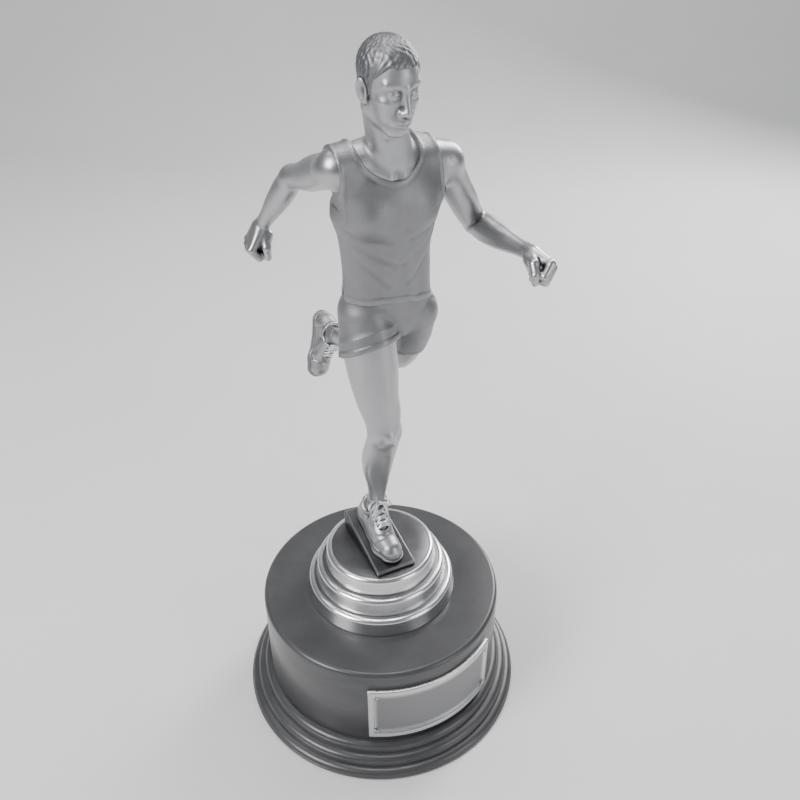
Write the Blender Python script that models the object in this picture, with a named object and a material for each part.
"""Figure trophy: a cast runner standing on a sloped block, a three-tier riser and a turned drum base."""

import math

import bmesh
import bpy
import numpy as np
from mathutils import Vector

MM = 0.001
GAP = 0.3  # clearance between touching pieces
TURNS = 40  # segments round a turned piece

# Turned base, millimetres.
FELT_RADIUS, FELT_TOP = 62.0, 1.5
MOULDING_FOOT, MOULDING_TOP = 0.4, 13.6
MOULDING_STEPS = ((65.9, 2.0, 62.3, 4.2), (62.3, 7.0, 58.6, 8.9), (58.6, 11.6, 55.0, 13.6))
RECESS_RADIUS = 62.6
DRUM_RADIUS, DRUM_TOP, DRUM_EDGE = 55.0, 57.4, 2.0
TIER_HEIGHT = 7.87
TIERS = (("riser_lower", 34.4), ("riser_middle", 30.2), ("riser_upper", 25.6))
TIER_DRAFT, TIER_EDGE = 0.9, 2.0

# Sloped block under the planted shoe.
BLOCK_LENGTH, BLOCK_WIDTH = 37.8, 18.6
BLOCK_CENTRE = (-0.5, -1.3)
BLOCK_HEADING = 25.7
BLOCK_HEEL, BLOCK_TOE = 89.7, 83.2

# Curved nameplate on the drum, angles from -Y towards +X.
PLATE_FROM, PLATE_TO = -4.8, 59.7
PLATE_LOW, PLATE_HIGH = 18.0, 48.8
PLATE_THICK, PLATE_FLOOR, PLATE_BORDER = 1.5, 0.9, 2.8
SCREW_ANGLES, SCREW_HEIGHTS = (-1.4, 56.6), (22.1, 44.9)
SCREW_HEAD, SCREW_SHANK = 1.15, 0.6

# Hidden hardware on the axis.
ROD_RADIUS, ROD_LOW, ROD_HIGH = 2.0, 3.0, 94.0
NUT_RADIUS, NUT_LOW, NUT_HIGH = 4.4, 4.0, 7.2
WASHER_RADIUS, WASHER_HIGH = 5.2, 8.5
COUNTERBORE_RADIUS, COUNTERBORE_TOP = 6.2, 8.9
BALLAST_RADIUS, BALLAST_TOP = 12.6, 40.0
PIN_RADIUS, PIN_LENGTH = 1.0, 8.0

# Runner: every bone as a share of the standing height, a heading from -Y towards +X and an elevation.
STATURE = 211.0
PELVIS = (5.1, 1.6, 199.9)
BONES = (
    ("pelvis", "neck", 0.286, 5.4, 75.6),
    ("neck", "head", 0.1302, -2.9, 64.0),
    ("neck", "shoulder_r", 0.086, -67.0, -2.0),
    ("neck", "shoulder_l", 0.111, 126.0, -9.5),
    ("shoulder_r", "elbow_r", 0.180, -148.0, -18.5),
    ("elbow_r", "wrist_r", 0.145, -134.0, -47.5),
    ("wrist_r", "fist_r", 0.043, -80.0, -62.0),
    ("shoulder_l", "elbow_l", 0.180, 148.5, -48.5),
    ("elbow_l", "wrist_l", 0.148, 31.0, -4.5),
    ("wrist_l", "fist_l", 0.043, 38.0, -26.0),
    ("pelvis", "hip_r", 0.048, -56.5, 0.0),
    ("pelvis", "hip_l", 0.052, 119.0, -21.0),
    ("hip_r", "knee_r", 0.239, 43.5, -79.5),
    ("knee_r", "ankle_r", 0.240, -163.0, -73.0),
    ("hip_l", "knee_l", 0.239, -161.5, -49.5),
    ("knee_l", "ankle_l", 0.240, -145.5, -13.2),
)
FACING = 27.0

# Limb profiles: place along the bone, then the reach to the front, the back and each side.
# The trunk bends with the stride, so its left and right sides reach differently.
TRUNK = (
    (0.00, 11.5, 13.0, 16.6, 19.4),
    (0.12, 11.2, 12.0, 15.6, 18.4),
    (0.27, 10.8, 11.0, 15.2, 17.9),
    (0.47, 11.2, 11.4, 15.6, 19.8),
    (0.75, 12.9, 12.6, 18.4, 22.0),
    (0.90, 11.2, 11.2, 16.0, 17.5),
    (1.00, 7.5, 7.5, 9.0, 9.5),
)
UPPER_ARM = ((0.0, 6.0, 6.0, 5.8), (0.3, 5.8, 5.6, 5.0), (0.6, 5.2, 5.0, 4.4), (1.0, 4.1, 4.3, 4.2))
FOREARM = ((0.0, 4.2, 4.3, 4.4), (0.3, 4.5, 4.4, 4.9), (0.7, 3.3, 3.3, 3.7), (1.0, 2.5, 2.5, 3.2))
THIGH = ((0.0, 11.0, 11.0, 11.0), (0.3, 10.6, 10.2, 10.0), (0.7, 8.6, 8.2, 8.0), (1.0, 6.9, 6.2, 6.6))
SHANK = ((0.0, 6.8, 6.4, 6.4), (0.3, 5.4, 8.0, 6.9), (0.7, 4.2, 5.0, 4.6), (1.0, 4.4, 4.6, 4.0))

# Shoe, in its own frame: x runs to the toe, z up from the sole.
SHOE_LENGTH, SHOE_ANKLE, SOLE_THICK = 35.0, (10.5, 0.0, 13.0), 3.6
SOLE_OUTLINE = (
    (0.0, 0.0), (1.2, 3.4), (5.0, 5.0), (12.0, 4.6), (19.0, 5.4), (25.0, 6.6), (30.0, 6.0), (33.6, 3.6),
    (35.0, 0.2), (33.8, -3.4), (30.5, -5.4), (25.0, -6.2), (18.0, -5.0), (12.0, -4.6), (5.0, -4.9), (1.2, -3.4),
)

BODY_STEP, HEAD_STEP, SHOE_STEP, FIST_STEP = 3.6, 2.6, 2.5, 2.3
JOINT_PIN_RADIUS, JOINT_PIN_REACH = 1.5, 5.0

COLOURS = {
    "felt": ((0.02, 0.05, 0.03), 0.0, 0.95),
    "lacquer": ((0.09, 0.09, 0.095), 0.0, 0.35),
    "silver": ((0.72, 0.72, 0.74), 1.0, 0.25),
    "pewter": ((0.52, 0.53, 0.55), 1.0, 0.42),
    "steel": ((0.45, 0.46, 0.48), 1.0, 0.35),
    "iron": ((0.12, 0.12, 0.13), 1.0, 0.6),
}


def clear_scene():
    for obj in list(bpy.data.objects):
        bpy.data.objects.remove(obj, do_unlink=True)


def material(name):
    colour, metallic, roughness = COLOURS[name]
    made = bpy.data.materials.new(name)
    made.use_nodes = True
    shader = made.node_tree.nodes["Principled BSDF"]
    shader.inputs["Base Color"].default_value = (*colour, 1.0)
    shader.inputs["Metallic"].default_value = metallic
    shader.inputs["Roughness"].default_value = roughness
    return made


def add_object(name, points, faces, finish, origin=(0.0, 0.0, 0.0), smooth=True):
    """Adds one mesh, points and origin in millimetres, with its own copy of the material."""
    centre = np.array(origin, float)
    mesh = bpy.data.meshes.new(name)
    mesh.from_pydata(((np.asarray(points, float) - centre) * MM).tolist(), [], [list(f) for f in faces])
    made = bmesh.new()
    made.from_mesh(mesh)
    bmesh.ops.recalc_face_normals(made, faces=made.faces)
    made.to_mesh(mesh)
    made.free()
    mesh.polygons.foreach_set("use_smooth", [smooth] * len(mesh.polygons))
    obj = bpy.data.objects.new(name, mesh)
    obj.location = centre * MM
    if finish:
        skin = material(finish)
        skin.name = name + "_" + finish
        mesh.materials.append(skin)
    bpy.context.scene.collection.objects.link(obj)
    return obj


def hide_cutter(obj):
    obj.hide_render = True
    obj.display_type = "WIRE"
    return obj


def cut(obj, cutter):
    change = obj.modifiers.new("cut_" + cutter.name, "BOOLEAN")
    change.operation = "DIFFERENCE"
    change.solver = "EXACT"
    change.object = cutter


# ---- turned pieces -------------------------------------------------------------------------------


def rounded(corner_radius, outer, top, steps=3):
    """Points of a quarter round that ends a wall of radius outer at the height top."""
    angles = [math.pi / 2 * i / steps for i in range(steps + 1)]
    return [
        (outer - corner_radius * (1 - math.cos(a)), top - corner_radius * (1 - math.sin(a)))
        for a in angles
    ]


def turned(name, profile, finish, origin=(0.0, 0.0, 0.0), turns=TURNS, smooth=False):
    """Revolves a closed profile of (radius, height) pairs about the vertical through origin."""
    points, faces, rings = [], [], []
    for radius, height in profile:
        if radius < 1e-6:
            rings.append([len(points)])
            points.append((0.0, 0.0, height))
            continue
        rings.append([len(points) + i for i in range(turns)])
        for i in range(turns):
            angle = 2 * math.pi * i / turns
            points.append((radius * math.sin(angle), -radius * math.cos(angle), height))
    for low, high in zip(rings, rings[1:] + rings[:1]):
        if len(low) == 1 and len(high) == 1:
            continue
        for i in range(turns):
            face = [low[i % len(low)], low[(i + 1) % len(low)], high[(i + 1) % len(high)], high[i % len(high)]]
            faces.append(list(dict.fromkeys(face)))
    moved = np.array(points) + np.array(origin)
    return add_object(name, moved, faces, finish, origin, smooth)


def foot_moulding_profile():
    outline = [(RECESS_RADIUS, MOULDING_FOOT), (MOULDING_STEPS[0][0], MOULDING_FOOT)]
    for wide, low, narrow, high in MOULDING_STEPS:
        outline.append((wide, low))
        for i in (1, 2, 3):
            angle = math.pi / 6 * i
            outline.append((narrow + (wide - narrow) * math.cos(angle), low + (high - low) * math.sin(angle)))
    hole = ROD_RADIUS + GAP
    inside = [(hole, MOULDING_TOP), (hole, COUNTERBORE_TOP), (COUNTERBORE_RADIUS, COUNTERBORE_TOP)]
    return outline + inside + [(COUNTERBORE_RADIUS, FELT_TOP + GAP), (RECESS_RADIUS, FELT_TOP + GAP)]


def drum_profile():
    hole, pocket = ROD_RADIUS + GAP, BALLAST_RADIUS + GAP
    foot = MOULDING_TOP + GAP
    inside = [(hole, DRUM_TOP), (hole, BALLAST_TOP + GAP), (pocket, BALLAST_TOP + GAP), (pocket, foot)]
    return [(DRUM_RADIUS, foot)] + rounded(DRUM_EDGE, DRUM_RADIUS, DRUM_TOP) + inside


def build_base():
    hole = ROD_RADIUS + GAP
    turned("felt_pad", [(0.0, 0.0), (FELT_RADIUS, 0.0), (FELT_RADIUS, FELT_TOP), (0.0, FELT_TOP)], "felt")
    turned("foot_moulding", foot_moulding_profile(), "lacquer")
    drum = turned("base_drum", drum_profile(), "lacquer", (0, 0, 0))
    floor = DRUM_TOP + GAP
    tiers = []
    for name, radius in TIERS:
        top = floor - GAP + TIER_HEIGHT
        profile = [(radius, floor)] + rounded(TIER_EDGE, radius - TIER_DRAFT, top) + [(hole, top), (hole, floor)]
        tiers.append(turned(name, profile, "silver"))
        floor = top + GAP
    return drum, tiers


def block_frame():
    """Centre of the block, its direction to the toe and its direction to the left."""
    angle = math.radians(BLOCK_HEADING)
    toe = np.array([math.sin(angle), -math.cos(angle), 0.0])
    return np.array([*BLOCK_CENTRE, 0.0]), toe, np.array([-toe[1], toe[0], 0.0])


def build_block():
    centre, toe, left = block_frame()
    floor = DRUM_TOP + 3 * TIER_HEIGHT + GAP
    corners = []
    for along, across in ((-1, -1), (1, -1), (1, 1), (-1, 1)):
        spot = centre + toe * along * BLOCK_LENGTH / 2 + left * across * BLOCK_WIDTH / 2
        top = BLOCK_HEEL if along < 0 else BLOCK_TOE
        corners.append((spot, floor, top))
    points = [(*spot[:2], low) for spot, low, _ in corners] + [(*spot[:2], high) for spot, _, high in corners]
    faces = [(0, 1, 2, 3), (4, 5, 6, 7), (0, 1, 5, 4), (1, 2, 6, 5), (2, 3, 7, 6), (3, 0, 4, 7)]
    block = add_object("wedge_block", points, faces, "lacquer", (*BLOCK_CENTRE, floor), smooth=False)
    bevel = block.modifiers.new("edges", "BEVEL")
    bevel.width = 0.5 * MM
    bevel.segments = 2
    return block


def rod(name, radius, low, high, finish, centre=(0.0, 0.0), turns=16):
    """A plain bar with chamfered ends."""
    edge = min(0.4, radius / 4)
    profile = [(0.0, low), (radius - edge, low), (radius, low + edge)]
    profile += [(radius, high - edge), (radius - edge, high), (0.0, high)]
    relative = [(r, z - low) for r, z in profile]
    return turned(name, relative, finish, (*centre, low), turns, smooth=False)


def ring(name, outer, inner, low, high, finish, turns=24):
    edge = 0.3
    profile = [(inner, low), (outer - edge, low), (outer, low + edge), (outer, high - edge), (outer - edge, high)]
    return turned(name, profile + [(inner, high)], finish, (0, 0, 0), turns)


def flatten_to_hexagon(obj, bore_radius):
    """Pulls the outer wall of a turned piece in to six flats and leaves its bore round."""
    for vertex in obj.data.vertices:
        radius = math.hypot(vertex.co.x, vertex.co.y)
        if radius > bore_radius * MM:
            turn = math.atan2(vertex.co.y, vertex.co.x) % (math.pi / 3) - math.pi / 6
            pull = math.cos(math.pi / 6) / math.cos(turn)
            vertex.co.x *= pull
            vertex.co.y *= pull


def bore(name, radius, low, high, centre=(0.0, 0.0)):
    """A cutter for a straight vertical hole."""
    profile = [(0.0, 0.0), (radius, 0.0), (radius, high - low), (0.0, high - low)]
    return hide_cutter(turned(name, profile, None, (*centre, low), 16))


def build_hardware(drum, tiers, block):
    rod("tie_rod", ROD_RADIUS, ROD_LOW, ROD_HIGH, "steel")
    nut = ring("hex_nut", NUT_RADIUS, ROD_RADIUS + GAP, NUT_LOW, NUT_HIGH, "steel", turns=24)
    flatten_to_hexagon(nut, ROD_RADIUS + 2 * GAP)
    ring("washer", WASHER_RADIUS, ROD_RADIUS + GAP, NUT_HIGH + GAP, WASHER_HIGH, "steel")
    ring("ballast", BALLAST_RADIUS, ROD_RADIUS + GAP, MOULDING_TOP + 2 * GAP, BALLAST_TOP, "iron")
    cut(block, bore("block_hole", ROD_RADIUS + GAP, 70.0, 100.0))
    joins = (
        ("riser_pin_1", (18.0, 0.0), DRUM_TOP, drum, tiers[0]),
        ("riser_pin_2", (-18.0, 0.0), DRUM_TOP, drum, tiers[0]),
        ("tier_pin_1", (0.0, 14.0), DRUM_TOP + TIER_HEIGHT, tiers[0], tiers[1]),
        ("tier_pin_2", (0.0, -17.0), DRUM_TOP + 2 * TIER_HEIGHT, tiers[1], tiers[2]),
        ("block_pin", (-5.5, 9.5), DRUM_TOP + 3 * TIER_HEIGHT, tiers[2], block),
    )
    for name, centre, level, below, above in joins:
        half = PIN_LENGTH / 2
        rod(name, PIN_RADIUS, level - half, level + half, "steel", centre, 10)
        hole = bore(name + "_hole", PIN_RADIUS + GAP, level - half - GAP, level + half + GAP, centre)
        cut(below, hole)
        cut(above, hole)


# ---- nameplate -----------------------------------------------------------------------------------


def plate_stations(low, high, border, count):
    """Grid lines across the plate with pairs of lines at its bevel and its border."""
    bevel = border / 8
    edge = [low, low + bevel, low + border - bevel, low + border]
    middle = [low + border + (high - low - 2 * border) * i / count for i in range(1, count)]
    return edge + middle + [high + low - v for v in reversed(edge)]


def build_nameplate(drum):
    seat = DRUM_RADIUS + GAP
    degrees_per_mm = 180 / math.pi / seat
    across = plate_stations(PLATE_FROM, PLATE_TO, PLATE_BORDER * degrees_per_mm, 12)
    up = plate_stations(PLATE_LOW, PLATE_HIGH, PLATE_BORDER, 2)
    points, faces = [], []
    for side in (0, 1):
        for i, angle in enumerate(across):
            for j, height in enumerate(up):
                depth_in = min(i, j, len(across) - 1 - i, len(up) - 1 - j)
                rise = (PLATE_THICK - 0.3, PLATE_THICK, PLATE_THICK, PLATE_FLOOR)[min(depth_in, 3)]
                radius = seat + (rise if side else 0.0)
                turn = math.radians(angle)
                points.append((radius * math.sin(turn), -radius * math.cos(turn), height))
    rows, layer = len(up), len(across) * len(up)
    for i in range(len(across) - 1):
        for j in range(rows - 1):
            a = i * rows + j
            faces.append((a, a + 1, a + rows + 1, a + rows))
            faces.append((a + layer, a + rows + layer, a + rows + 1 + layer, a + 1 + layer))
    rim = [i * rows for i in range(len(across))]
    rim += [(len(across) - 1) * rows + j for j in range(1, rows)]
    rim += [i * rows + rows - 1 for i in range(len(across) - 2, -1, -1)]
    rim += [j for j in range(rows - 2, 0, -1)]
    for a, b in zip(rim, rim[1:] + rim[:1]):
        faces.append((a, b, b + layer, a + layer))
    middle = math.radians((PLATE_FROM + PLATE_TO) / 2)
    origin = (seat * math.sin(middle), -seat * math.cos(middle), (PLATE_LOW + PLATE_HIGH) / 2)
    plate = add_object("nameplate", points, faces, "silver", origin, smooth=False)
    build_screws(drum, plate)


def aimed_lathe(name, profile, finish, foot, axis, turns):
    """Revolves (radius, distance) pairs about the axis that starts at foot."""
    axis = np.array(axis, float) / np.linalg.norm(axis)
    turn = Vector((0, 0, 1)).rotation_difference(Vector(axis)).to_matrix()
    obj = turned(name, profile, finish, (0, 0, 0), turns)
    for vertex in obj.data.vertices:
        vertex.co = turn @ vertex.co
    obj.location = np.array(foot) * MM
    return obj


def build_screws(drum, plate):
    face = DRUM_RADIUS + GAP + PLATE_THICK + GAP / 2
    number = 0
    for angle in SCREW_ANGLES:
        turn = math.radians(angle)
        axis = np.array([math.sin(turn), -math.cos(turn), 0.0])
        for height in SCREW_HEIGHTS:
            number += 1
            foot = axis * (face - 7.0) + np.array([0, 0, height])
            profile = [(0.0, 0.0), (SCREW_SHANK, 0.8), (SCREW_SHANK, 7.0), (SCREW_HEAD, 7.0)]
            profile += [(SCREW_HEAD, 7.25), (0.8, 7.6), (0.35, 7.7), (0.35, 7.45), (0.0, 7.45)]
            aimed_lathe("nameplate_screw_%d" % number, profile, "steel", foot, axis, 10)
            hole = [(0.0, 0.0), (SCREW_SHANK + 0.25, 0.0), (SCREW_SHANK + 0.25, 9.0), (0.0, 9.0)]
            cutter = aimed_lathe("screw_hole_%d" % number, hole, None, foot - axis * 0.4, axis, 10)
            hide_cutter(cutter)
            cut(drum, cutter)
            cut(plate, cutter)


# ---- sculpted pieces -----------------------------------------------------------------------------


def direction(heading, elevation):
    turn, rise = math.radians(heading), math.radians(elevation)
    return np.array([math.sin(turn) * math.cos(rise), -math.cos(turn) * math.cos(rise), math.sin(rise)])


def unit(vector):
    return vector / np.linalg.norm(vector)


def skeleton():
    joints = {"pelvis": np.array(PELVIS)}
    for start, end, share, heading, elevation in BONES:
        joints[end] = joints[start] + share * STATURE * direction(heading, elevation)
    return joints


def blend(first, second, width):
    """Smooth union of two distance fields."""
    mix = np.clip(0.5 + 0.5 * (second - first) / width, 0.0, 1.0)
    return second + (first - second) * mix - width * mix * (1.0 - mix)


def cone(p, a, b, radius_a, radius_b):
    axis = b - a
    t = np.clip(((p - a) @ axis) / (axis @ axis), 0.0, 1.0)
    return np.linalg.norm(p - a - t[..., None] * axis, axis=-1) - (radius_a + (radius_b - radius_a) * t)


def ellipsoid(p, centre, axes, radii):
    q = (p - centre) @ np.array(axes).T
    near = np.linalg.norm(q / np.array(radii), axis=-1)
    slope = np.linalg.norm(q / np.array(radii) ** 2, axis=-1)
    return near * (near - 1.0) / np.maximum(slope, 1e-6)


def limb(p, a, b, front, profile):
    """Distance to a limb whose reach to the front, back, left and right changes along its bone."""
    axis = b - a
    side = unit(np.cross(axis, front))
    ahead = unit(np.cross(side, axis))
    t = np.clip(((p - a) @ axis) / (axis @ axis), 0.0, 1.0)
    q = p - a - t[..., None] * axis
    far = np.maximum(np.linalg.norm(q, axis=-1), 1e-6)
    u, v = (q @ ahead) / far, (q @ side) / far
    stations = np.array(profile).T
    place, fore, back, left, right = *stations[:4], stations[-1]
    reach = np.where(u > 0, np.interp(t, place, fore), np.interp(t, place, back))
    beside = np.where(v > 0, np.interp(t, place, left), np.interp(t, place, right))
    end = np.maximum(1.0 - u * u - v * v, 0.0)
    return far - 1.0 / np.sqrt((u / reach) ** 2 + (v / beside) ** 2 + end / (reach * beside))


def fill_saddles(values, step):
    """Fills grid faces whose diagonal corners alone are inside, because they would pinch the surface."""
    for _ in range(12):
        found = False
        for u, v in ((0, 1), (1, 2), (0, 2)):
            corners = []
            for du, dv in ((0, 0), (1, 1), (1, 0), (0, 1)):
                window = [slice(None)] * 3
                window[u] = slice(du, values.shape[u] - 1 + du)
                window[v] = slice(dv, values.shape[v] - 1 + dv)
                corners.append(values[tuple(window)])
            a, b, c, d = corners
            one = (a < 0) & (b < 0) & (c >= 0) & (d >= 0)
            other = (a >= 0) & (b >= 0) & (c < 0) & (d < 0)
            found = found or one.any() or other.any()
            c[one] = -0.05 * step
            a[other] = -0.05 * step
        if not found:
            return


def surface(field, low, high, step):
    """Surface net of a distance field over a box: one vertex in each crossed cell, one quad on each crossed edge."""
    counts = np.ceil((np.array(high) - np.array(low)) / step).astype(int) + 2
    axes = [low[k] - step / 2 + step * np.arange(counts[k]) for k in range(3)]
    grid = np.stack(np.meshgrid(*axes, indexing="ij"), axis=-1)
    values = field(grid)
    fill_saddles(values, step)
    inside = values < 0
    total = np.zeros(counts - 1)
    weight = np.zeros((*(counts - 1), 3))
    corners = [(i, j, k) for i in (0, 1) for j in (0, 1) for k in (0, 1)]
    for axis in range(3):
        first = [slice(None)] * 3
        second = [slice(None)] * 3
        first[axis], second[axis] = slice(None, -1), slice(1, None)
        a, b = values[tuple(first)], values[tuple(second)]
        crossed = inside[tuple(first)] != inside[tuple(second)]
        share = np.where(crossed, a / np.where(crossed, a - b, 1.0), 0.0)
        spot = grid[tuple(first)].copy()
        spot[..., axis] += share * step
        for i, j, k in corners:
            if (i, j, k)[axis]:
                continue
            window = [slice(o, o + n) for o, n in zip((i, j, k), counts - 1)]
            window[axis] = slice(0, counts[axis] - 1)
            total += crossed[tuple(window)]
            weight += np.where(crossed[tuple(window)][..., None], spot[tuple(window)], 0.0)
    cells = total > 0
    number = np.full(cells.shape, -1)
    number[cells] = np.arange(cells.sum())
    points = weight[cells] / total[cells][:, None]
    return points, net_faces(inside, number)


def net_faces(inside, number):
    faces = []
    for axis in range(3):
        first = [slice(1, -1)] * 3
        second = [slice(1, -1)] * 3
        first[axis], second[axis] = slice(0, -1), slice(1, None)
        changed = inside[tuple(first)] != inside[tuple(second)]
        for spot in np.argwhere(changed):
            where = spot + 1
            where[axis] = spot[axis]
            u, v = (axis + 1) % 3, (axis + 2) % 3
            around = []
            for du, dv in ((1, 1), (0, 1), (0, 0), (1, 0)):
                cell = where.copy()
                cell[u] -= du
                cell[v] -= dv
                around.append(int(number[tuple(cell)]))
            faces.append(around)
    return faces


def sculpt(name, field, low, high, step, finish, origin):
    points, faces = surface(field, low, high, step)
    return add_object(name, points, faces, finish, origin)


def plane(p, point, normal):
    """Signed distance beyond a plane."""
    return (p - point) @ unit(np.array(normal, float))


FRONT = direction(FACING, 0.0)
LEFT = direction(FACING + 90.0, 0.0)
UP = np.array([0.0, 0.0, 1.0])


def upper_body(p, joints):
    """Trunk, neck, shoulders and both arms in one smooth form."""
    j = joints
    body = limb(p, j["pelvis"], j["neck"], FRONT, TRUNK)
    body = blend(body, cone(p, j["neck"], j["head"] - UP * 6.0, 7.2, 6.2), 2.0)
    for side in ("r", "l"):
        shoulder, elbow, wrist = j["shoulder_" + side], j["elbow_" + side], j["wrist_" + side]
        body = blend(body, cone(p, j["neck"] + UP * 0.5, shoulder, 6.0, 6.3), 3.0)
        arm = limb(p, shoulder, elbow, FRONT + UP, UPPER_ARM)
        arm = blend(arm, limb(p, elbow, wrist, UP, FOREARM), 1.5)
        body = blend(body, arm, 2.5)
    return body


def shoulder_plane(joints, side):
    shoulder = joints["shoulder_" + side]
    outward = unit((shoulder - joints["neck"]) * np.array([1, 1, 0]))
    along = unit(joints["elbow_" + side] - shoulder)
    return shoulder - outward * 3.6, unit(outward + 0.35 * along + 0.45 * UP)


def waist_plane(joints):
    return joints["pelvis"] + 7.0 * unit(joints["neck"] - joints["pelvis"]), joints["neck"] - joints["pelvis"]


def neck_plane(joints):
    rise = unit(joints["head"] - joints["neck"])
    return joints["neck"] + rise * 9.0, rise


def wrist_plane(joints, side):
    bone = joints["wrist_" + side] - joints["elbow_" + side]
    return joints["wrist_" + side] - unit(bone) * 1.0, bone


def hem_plane(joints, side):
    bone = joints["knee_" + side] - joints["hip_" + side]
    return joints["hip_" + side] + bone * (0.34 if side == "r" else 0.44), bone


def ankle_plane(joints, side):
    bone = joints["ankle_" + side] - joints["knee_" + side]
    return joints["ankle_" + side] - unit(bone) * 2.6, bone


def torso_field(p, joints):
    field = upper_body(p, joints)
    for side in ("r", "l"):
        field = np.maximum(field, plane(p, *shoulder_plane(joints, side)) + GAP / 2)
    field = np.maximum(field, GAP / 2 - plane(p, *waist_plane(joints)))
    return np.maximum(field, plane(p, *neck_plane(joints)) + GAP / 2)


def arm_field(p, joints, side):
    field = np.maximum(upper_body(p, joints), GAP / 2 - plane(p, *shoulder_plane(joints, side)))
    return np.maximum(field, plane(p, *wrist_plane(joints, side)) + GAP / 2)


def fist_field(p, joints, side):
    wrist, fist = joints["wrist_" + side], joints["fist_" + side]
    ahead = unit(fist - wrist)
    across = unit(np.cross(ahead, UP))
    over = np.cross(across, ahead)
    field = ellipsoid(p, fist, (ahead, across, over), (5.6, 4.4, 5.2))
    field = blend(field, cone(p, wrist, fist, 2.8, 3.6), 1.5)
    thumb = -across if side == "r" else across
    field = blend(field, cone(p, fist + thumb * 3.6 - ahead * 2.4, fist + thumb * 3.8 + ahead * 3.0, 1.7, 1.5), 0.8)
    return np.maximum(field, GAP / 2 - plane(p, *wrist_plane(joints, side)))


def head_field(p, joints):
    centre = joints["head"]
    face = direction(FACING + 8.0, -12.0)
    left = unit(np.cross(UP, face))
    crown = np.cross(face, left)
    axes = (face, left, crown)
    field = ellipsoid(p, centre + crown * 3.4 - face * 1.0, axes, (10.0, 7.8, 9.3))
    field = blend(field, ellipsoid(p, centre - crown * 3.2 + face * 2.3, axes, (7.3, 6.1, 9.6)), 3.0)
    field = blend(field, cone(p, centre + crown * 0.9 + face * 9.0, centre - crown * 3.0 + face * 10.3, 0.9, 1.6), 1.5)
    for side in (-1, 1):
        ear = centre + left * side * 7.6 - face * 1.1 - crown * 0.5
        field = blend(field, ellipsoid(p, ear, axes, (2.0, 1.2, 3.2)), 0.8)
    neck = cone(p, joints["neck"], centre - crown * 4.0 - face * 2.5, 7.2, 6.2)
    field = blend(field, neck, 2.5)
    return np.maximum(field, GAP / 2 - plane(p, *neck_plane(joints)))


def shorts_field(p, joints):
    j = joints
    field = limb(p, j["pelvis"], j["neck"], FRONT, TRUNK) - 0.4
    for side in ("r", "l"):
        hem = hem_plane(j, side)
        leg = cone(p, j["hip_" + side], hem[0], 11.2, 12.0)
        field = blend(field, np.maximum(leg, plane(p, *hem) + GAP / 2), 2.5)
    return np.maximum(field, plane(p, *waist_plane(joints)) + GAP / 2)


def leg_field(p, joints, side):
    hip, knee, ankle = (joints[name + side] for name in ("hip_", "knee_", "ankle_"))
    toward = FRONT if side == "r" else unit(np.cross(LEFT, knee - hip)) * -1.0
    field = limb(p, hip, knee, toward, THIGH)
    shin = FRONT if side == "r" else -UP
    field = blend(field, limb(p, knee, ankle, shin, SHANK), 2.0)
    field = np.maximum(field, GAP / 2 - plane(p, *hem_plane(joints, side)))
    return np.maximum(field, plane(p, *ankle_plane(joints, side)) + GAP / 2)


# ---- shoes ---------------------------------------------------------------------------------------


def shoe_frame(joints, side):
    """Heel corner of the shoe, then its toe, left and upward directions."""
    if side == "r":
        slope = math.degrees(math.atan2(BLOCK_HEEL - BLOCK_TOE, BLOCK_LENGTH))
        toe = direction(BLOCK_HEADING, -slope)
        left = direction(BLOCK_HEADING + 90.0, 0.0)
        centre, _, _ = block_frame()
        middle = centre + UP * ((BLOCK_HEEL + BLOCK_TOE) / 2)
        rise = np.cross(toe, left)
        return middle - toe * SHOE_LENGTH / 2 + rise * GAP, toe, left, rise
    toe = direction(-24.0, -73.0)
    rise = unit(np.array([0.573, -0.771, 0.145]))
    rise = unit(rise - toe * (rise @ toe))
    left = np.cross(rise, toe)
    heel = joints["ankle_l"] - toe * SHOE_ANKLE[0] - rise * SHOE_ANKLE[2]
    return heel, toe, left, rise


def upper_field(p, joints, side):
    heel, toe, left, rise = shoe_frame(joints, side)
    q = (p - heel) @ np.array((toe, left, rise)).T
    ankle = (joints["ankle_" + side] - heel) @ np.array((toe, left, rise)).T
    spot = np.array
    field = cone(q, spot([6.4, 0, 5.6]), ankle + spot([0.5, 0, 2.5]), 5.2, 5.2)
    field = blend(field, cone(q, spot([8.0, 0, 5.5]), spot([20.0, 0, 4.6]), 5.2, 5.0), 2.0)
    field = blend(field, cone(q, spot([19.0, 0, 4.2]), spot([28.8, 0.2, 3.4]), 5.4, 4.6), 2.0)
    field = blend(field, cone(q, ankle + spot([1.5, 0, -0.5]), spot([22.0, 0, 5.4]), 4.4, 3.6), 2.0)
    field = np.maximum(field, SOLE_THICK + 1.5 * GAP - q[..., 2])
    return np.maximum(field, GAP / 2 - plane(p, *ankle_plane(joints, side)))


def build_sole(name, joints, side):
    heel, toe, left, rise = shoe_frame(joints, side)
    flip = -1.0 if side == "r" else 1.0
    outline = np.array(SOLE_OUTLINE) * np.array([1.0, flip])
    middle = np.array([SHOE_LENGTH / 2, 0.0])
    points = []
    for height, scale in ((0.0, 0.93), (0.5, 0.98), (1.8, 1.0), (SOLE_THICK - 0.5, 0.98), (SOLE_THICK, 0.95)):
        for spot in middle + (outline - middle) * scale:
            points.append(heel + toe * spot[0] + left * spot[1] + rise * (height + 0.02))
    count = len(outline)
    faces = [list(range(count)), list(range(4 * count, 5 * count))]
    for layer in range(4):
        for i in range(count):
            a, b = layer * count + i, layer * count + (i + 1) % count
            faces.append((a, b, b + count, a + count))
    return add_object(name, points, faces, "pewter", heel, smooth=False)


# ---- the figure ----------------------------------------------------------------------------------


def around(points, reach):
    """Box that holds the points with room to spare."""
    stacked = np.array(points)
    return stacked.min(axis=0) - reach, stacked.max(axis=0) + reach


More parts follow.
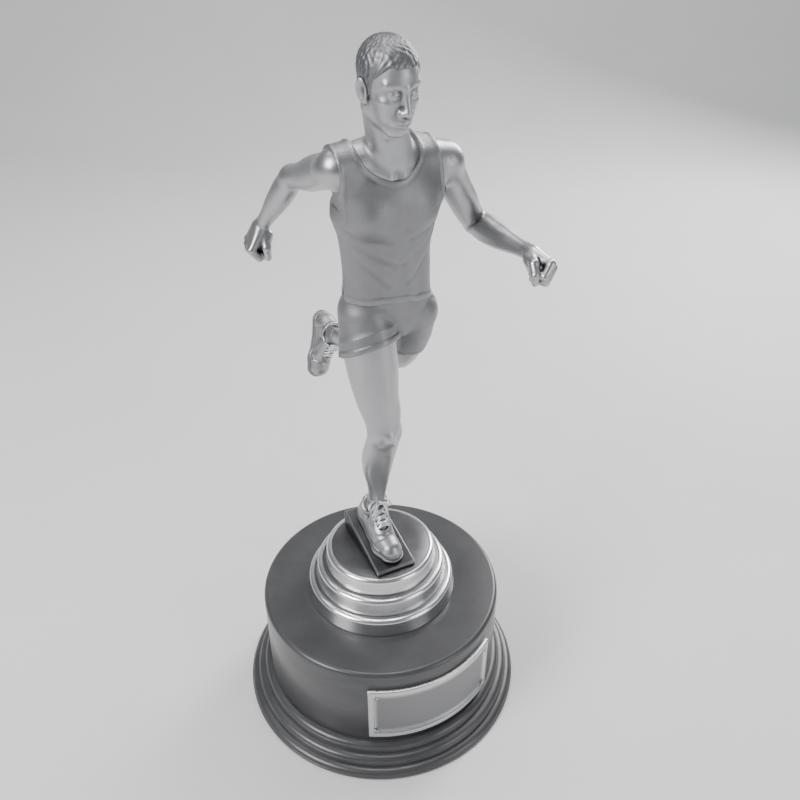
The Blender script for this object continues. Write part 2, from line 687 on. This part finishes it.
def build_castings(joints):
    j = joints
    castings = {}

    def piece(name, field, points, reach, step, origin):
        low, high = around(points, reach)
        castings[name] = sculpt(name, field, low, high, step, "pewter", origin)

    piece("head", lambda p: head_field(p, j), [j["neck"], j["head"]], 17.0, HEAD_STEP, neck_plane(j)[0])
    trunk = [j["neck"], j["pelvis"], j["shoulder_r"], j["shoulder_l"]]
    piece("torso", lambda p: torso_field(p, j), trunk, 15.0, BODY_STEP, waist_plane(j)[0])
    hems = [j["pelvis"], hem_plane(j, "r")[0], hem_plane(j, "l")[0]]
    piece("shorts", lambda p: shorts_field(p, j), hems, 20.0, BODY_STEP, j["pelvis"])
    for side, word in (("r", "right"), ("l", "left")):
        arm = [j[name + side] for name in ("shoulder_", "elbow_", "wrist_")]
        piece(word + "_arm", lambda p: arm_field(p, j, side), arm, 8.0, BODY_STEP - 0.4, shoulder_plane(j, side)[0])
        piece(word + "_fist", lambda p: fist_field(p, j, side), [arm[2], j["fist_" + side]], 8.0, FIST_STEP, arm[2])
        leg = [hem_plane(j, side)[0], j["knee_" + side], j["ankle_" + side]]
        piece(word + "_leg", lambda p: leg_field(p, j, side), leg, 13.0, BODY_STEP, leg[0])
        heel, toe, _, rise = shoe_frame(j, side)
        shoe = [heel, heel + toe * SHOE_LENGTH, j["ankle_" + side]]
        castings[word + "_outsole"] = build_sole(word + "_outsole", j, side)
        piece(word + "_shoe", lambda p: upper_field(p, j, side), shoe, 9.0, SHOE_STEP, heel + rise * SOLE_THICK)
    return castings


def build_joint_pins(joints, castings):
    """A dowel across every parting plane, with a blind socket in both castings."""
    j = joints
    joins = [("neck_pin", neck_plane(j), "torso", "head"), ("waist_pin", waist_plane(j), "shorts", "torso")]
    for side, word in (("r", "right"), ("l", "left")):
        joins.append((word + "_shoulder_pin", shoulder_plane(j, side), "torso", word + "_arm"))
        joins.append((word + "_wrist_pin", wrist_plane(j, side), word + "_arm", word + "_fist"))
        joins.append((word + "_hip_pin", hem_plane(j, side), "shorts", word + "_leg"))
        joins.append((word + "_ankle_pin", ankle_plane(j, side), word + "_leg", word + "_shoe"))
    for name, (spot, normal), first, second in joins:
        slim = "wrist" in name
        radius = JOINT_PIN_RADIUS * (0.5 if slim else 1.0)
        reach = JOINT_PIN_REACH * (0.6 if slim else 1.0)
        axis = unit(normal)
        bar = [(0.0, 0.0), (radius, 0.0), (radius, 2 * reach), (0.0, 2 * reach)]
        aimed_lathe(name, bar, "steel", spot - axis * reach, axis, 10)
        room = radius + GAP / math.cos(math.pi / 10)
        hole = [(0.0, 0.0), (room, 0.0), (room, 2 * (reach + GAP)), (0.0, 2 * (reach + GAP))]
        socket = hide_cutter(aimed_lathe(name + "_socket", hole, None, spot - axis * (reach + GAP), axis, 10))
        cut(castings[first], socket)
        cut(castings[second], socket)


def build():
    clear_scene()
    drum, tiers = build_base()
    block = build_block()
    build_hardware(drum, tiers, block)
    build_nameplate(drum)
    joints = skeleton()
    castings = build_castings(joints)
    build_joint_pins(joints, castings)
    rod_hole = bore("rod_hole", ROD_RADIUS + GAP, 80.0, ROD_HIGH + GAP)
    cut(castings["right_outsole"], rod_hole)
    cut(castings["right_shoe"], rod_hole)


build()
